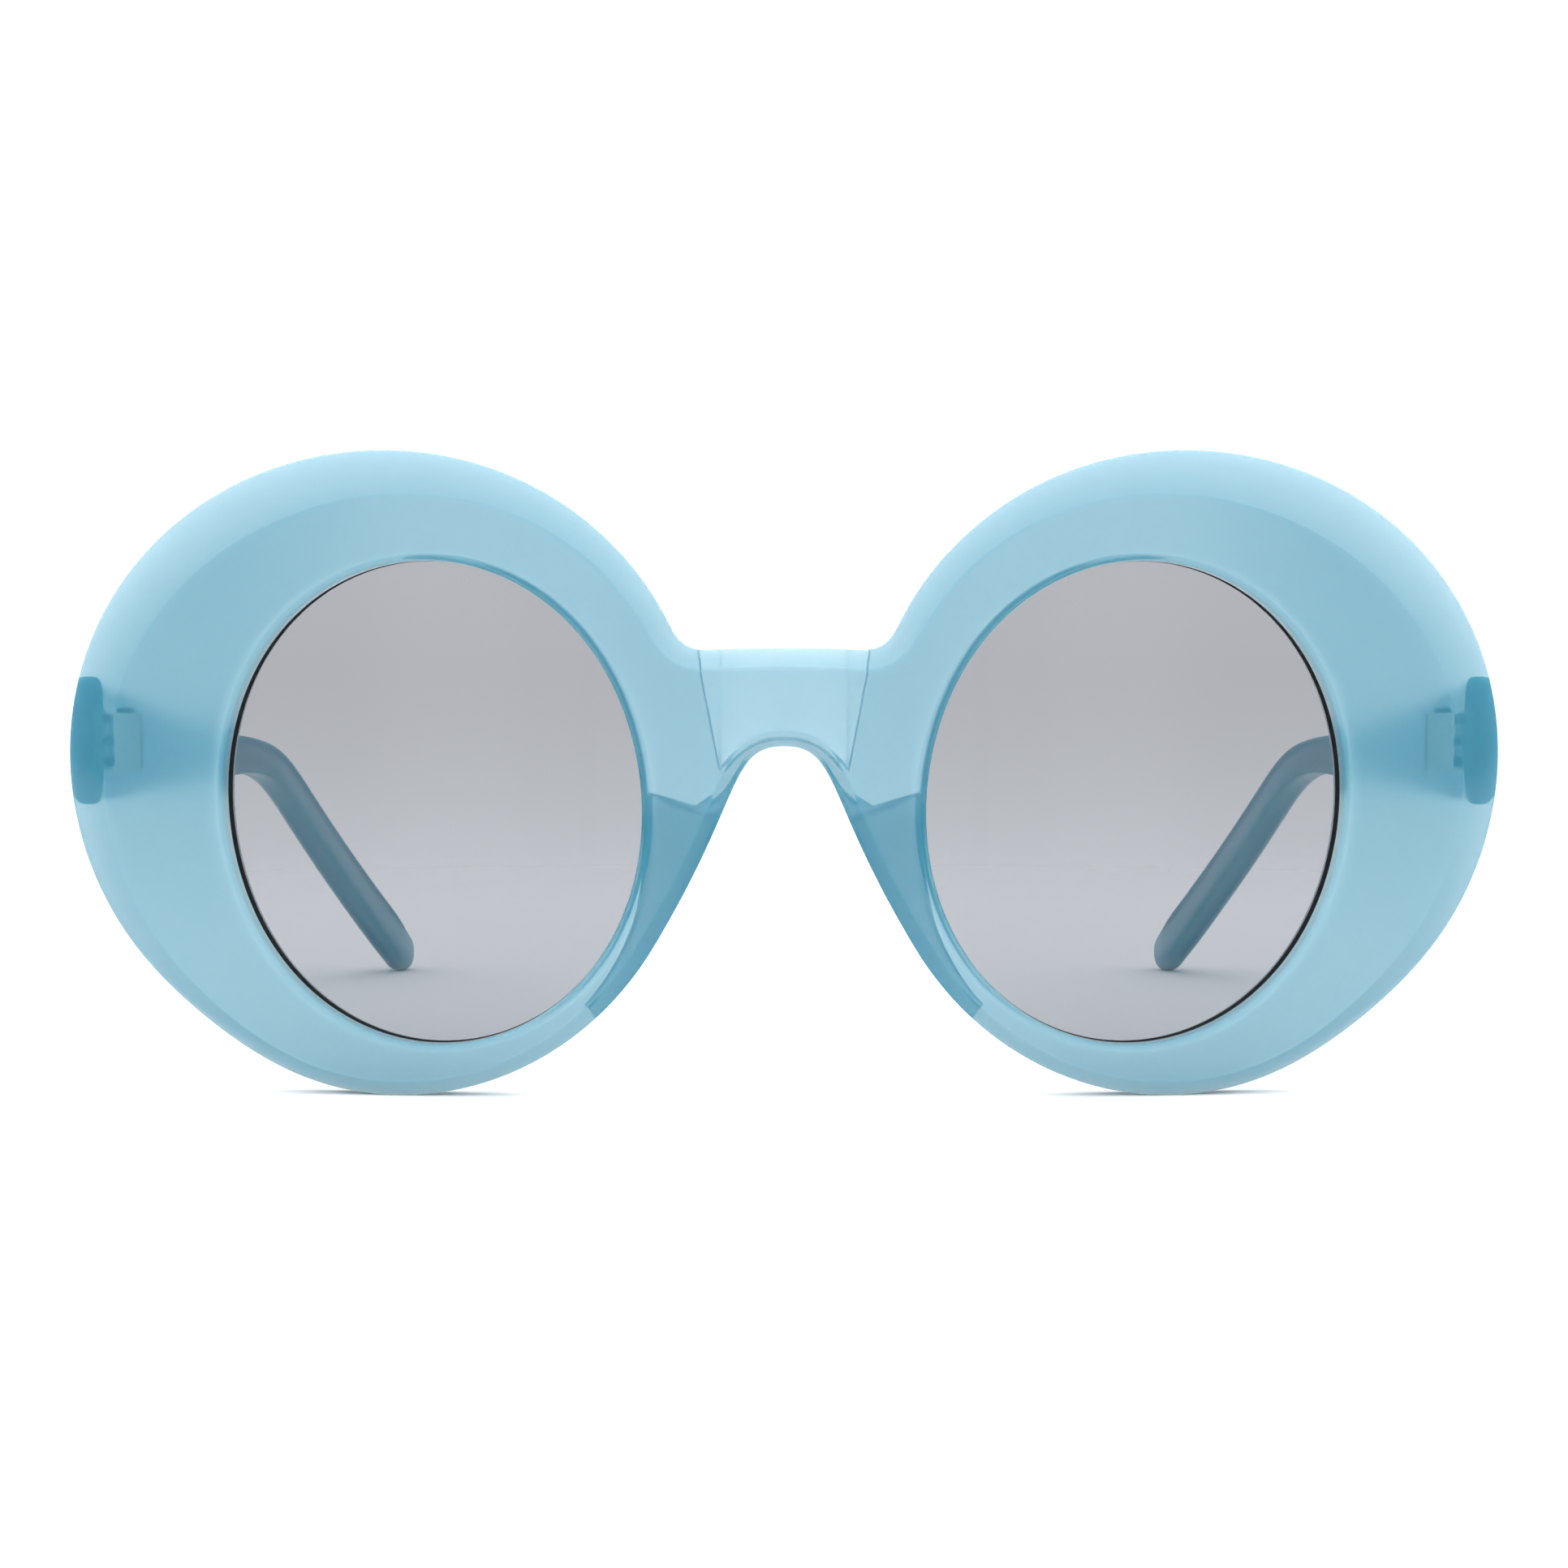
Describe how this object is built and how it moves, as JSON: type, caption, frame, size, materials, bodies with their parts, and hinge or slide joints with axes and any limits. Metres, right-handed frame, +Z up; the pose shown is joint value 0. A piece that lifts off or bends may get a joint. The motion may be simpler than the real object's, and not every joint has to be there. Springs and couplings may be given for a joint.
{
  "type": "sunglasses",
  "caption": "Oversized round sunglasses with a wide bent plastic front, low bridge, nose pads, tinted lenses and slim tapered arms that fold in on hinges.",
  "frame": {"origin": "centre of the footprint, on the surface that the rims and the tips of the open arms stand on", "axes": "+X towards the wearer's left, the front faces -Y, +Z up"},
  "size_m": [0.15, 0.1452, 0.0668],
  "materials": {
    "frame_plastic": "milky translucent pale blue, polished",
    "pad_plastic": "the same plastic, darker where it is thick, polished",
    "lens_glass": "smoke grey tint, polished",
    "hinge_steel": "fine brushed"
  },
  "bodies": {
    "frame": {"front": "frame_plastic", "nose_pad_right": "pad_plastic", "nose_pad_left": "pad_plastic", "lens_right": "lens_glass", "lens_left": "lens_glass", "hinge_front_leaf_right": "hinge_steel", "hinge_front_leaf_left": "hinge_steel"},
    "arm_right": {"temple_right": "frame_plastic", "hinge_temple_leaf_right": "hinge_steel", "hinge_screw_right": "hinge_steel"},
    "arm_left": {"temple_left": "frame_plastic", "hinge_temple_leaf_left": "hinge_steel", "hinge_screw_left": "hinge_steel"}
  },
  "joints": [
    {"name": "fold_right", "type": "hinge", "parent": "frame", "child": "arm_right", "pos_m": [-0.0691, -0.05915, 0.03647], "axis": [0, 0, -1], "range_deg": [0, 83]},
    {"name": "fold_left", "type": "hinge", "parent": "frame", "child": "arm_left", "pos_m": [0.0691, -0.05915, 0.03647], "axis": [0, 0, 1], "range_deg": [0, 79]}
  ]
}
